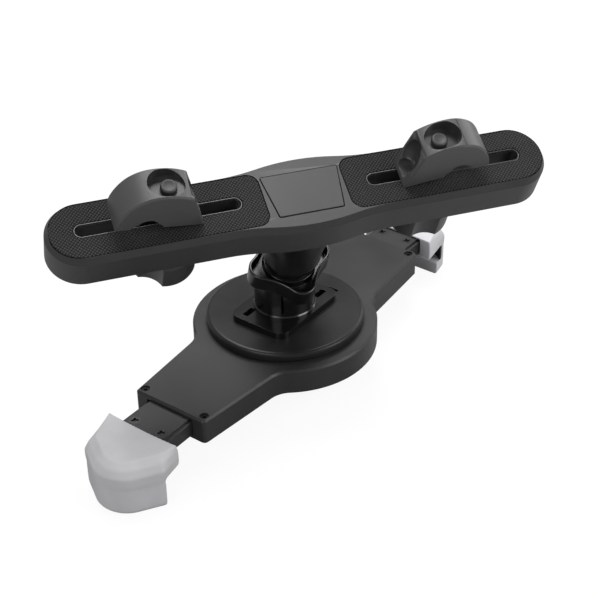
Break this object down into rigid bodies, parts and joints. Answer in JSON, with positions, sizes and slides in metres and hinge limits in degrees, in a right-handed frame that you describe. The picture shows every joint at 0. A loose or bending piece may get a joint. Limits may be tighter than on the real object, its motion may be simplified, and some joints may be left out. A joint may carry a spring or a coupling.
{
  "type": "headrest mount",
  "caption": "Tablet holder for the back of a car seat: corner claws on sliding arms, a turntable and a ball joint under a bar whose jaws clamp the headrest posts.",
  "frame": {"origin": "centre of the holder's flat underside, where it lies on the tablet's back, on the turntable's axis", "axes": "+Z away from the tablet along the turntable's axis, +X along the headrest bar as it stands at rest"},
  "size_m": [0.2202, 0.1617, 0.1351],
  "materials": {
    "shell": "satin moulded",
    "screw": "black zinc",
    "spring_steel": "bright strip",
    "turntable": "satin moulded",
    "steel": "plain zinc",
    "socket": "semi-gloss",
    "liner": "natural nylon",
    "stud": "turned",
    "bar": "fine texture",
    "pad": "cross-hatched",
    "washer": "smooth",
    "nut": "semi-gloss",
    "arm": "satin moulded",
    "claw": "fine texture, light grey",
    "claw_pad": "smooth",
    "jaw": "satin moulded",
    "knob": "satin moulded",
    "insert": "knurled"
  },
  "bodies": {
    "holder": {"holder_lower_shell": "shell", "holder_upper_shell": "shell", "shell_screws": "screw", "friction_springs": "spring_steel"},
    "arm_near": {"arm_near": "arm", "claw_near": "claw", "claw_pad_near": "claw_pad", "claw_screws_near": "screw"},
    "arm_far": {"arm_far": "arm", "claw_far": "claw", "claw_pad_far": "claw_pad", "claw_screws_far": "screw"},
    "turntable": {"turntable_disc": "turntable", "turntable_retainer": "turntable", "turntable_screws": "steel", "socket_plate": "socket", "ball_cup": "socket"},
    "ball_liner": {"ball_liner": "liner"},
    "ball_stud": {"ball_stud": "stud", "stud_washer": "steel", "stud_nut": "steel"},
    "bar": {"bar_body": "bar", "centre_panel": "bar", "pad_right": "pad", "pad_left": "pad"},
    "nut_washer": {"nut_washer": "washer"},
    "ring_nut": {"ring_nut": "nut"},
    "carriage_left": {"slide_washer_left": "steel"},
    "carriage_right": {"slide_washer_right": "steel"},
    "knob_left": {"knob_left": "knob", "knob_insert_left": "insert"},
    "knob_right": {"knob_right": "knob", "knob_insert_right": "insert"},
    "jaw_left": {"jaw_left": "jaw", "clamp_bolt_left": "screw"},
    "jaw_right": {"jaw_right": "jaw", "clamp_bolt_right": "screw"}
  },
  "joints": [
    {"name": "arm_near_slide", "type": "slide", "parent": "holder", "child": "arm_near", "axis": [-0.8192, -0.5736, 0], "range_m": [-0.0165, 0.022]},
    {"name": "arm_far_slide", "type": "slide", "parent": "holder", "child": "arm_far", "axis": [0.8192, 0.5736, 0], "range_m": [-0.0118, 0.0267]},
    {"name": "turntable_turn", "type": "hinge", "parent": "holder", "child": "turntable", "pos_m": [0, 0, 0.0143], "axis": [0, 0, 1], "continuous": true},
    {"name": "ball_pitch", "type": "hinge", "parent": "turntable", "child": "ball_liner", "pos_m": [0, 0, 0.0308], "axis": [1, 0, 0], "range_deg": [-54, 2]},
    {"name": "ball_roll", "type": "hinge", "parent": "ball_liner", "child": "ball_stud", "pos_m": [0, 0, 0.0308], "axis": [0, 0.9003, 0.4352], "range_deg": [-12, 12]},
    {"name": "bar_spin", "type": "hinge", "parent": "ball_stud", "child": "bar", "pos_m": [0, 0, 0.0308], "axis": [0, -0.4352, 0.9003], "continuous": true},
    {"name": "nut_lift", "type": "slide", "parent": "bar", "child": "nut_washer", "axis": [0, -0.4352, 0.9003], "range_m": [0, 0.002]},
    {"name": "nut_turn", "type": "hinge", "parent": "nut_washer", "child": "ring_nut", "pos_m": [0, -0.00653, 0.0443], "axis": [0, -0.4352, 0.9003], "range_deg": [0, 360]},
    {"name": "carriage_slide_left", "type": "slide", "parent": "bar", "child": "carriage_left", "axis": [1, 0, 0], "range_m": [-0.032, 0.0227]},
    {"name": "knob_turn_left", "type": "hinge", "parent": "carriage_left", "child": "knob_left", "pos_m": [-0.0599, -0.02176, 0.07582], "axis": [0, -0.4352, 0.9003], "range_deg": [0, 2160]},
    {"name": "jaw_lift_left", "type": "slide", "parent": "carriage_left", "child": "jaw_left", "axis": [0, -0.4352, 0.9003], "range_m": [0, 0.006]},
    {"name": "carriage_slide_right", "type": "slide", "parent": "bar", "child": "carriage_right", "axis": [1, 0, 0], "range_m": [-0.0191, 0.0356]},
    {"name": "knob_turn_right", "type": "hinge", "parent": "carriage_right", "child": "knob_right", "pos_m": [0.0563, -0.02176, 0.07582], "axis": [0, -0.4352, 0.9003], "range_deg": [0, 2160]},
    {"name": "jaw_lift_right", "type": "slide", "parent": "carriage_right", "child": "jaw_right", "axis": [0, -0.4352, 0.9003], "range_m": [0, 0.006]}
  ],
  "couplings": [
    {"joint": "nut_turn", "follows": "nut_lift", "rad_per_m": 3141.6},
    {"joint": "knob_turn_left", "follows": "jaw_lift_left", "rad_per_m": 6283.2},
    {"joint": "knob_turn_right", "follows": "jaw_lift_right", "rad_per_m": 6283.2}
  ]
}
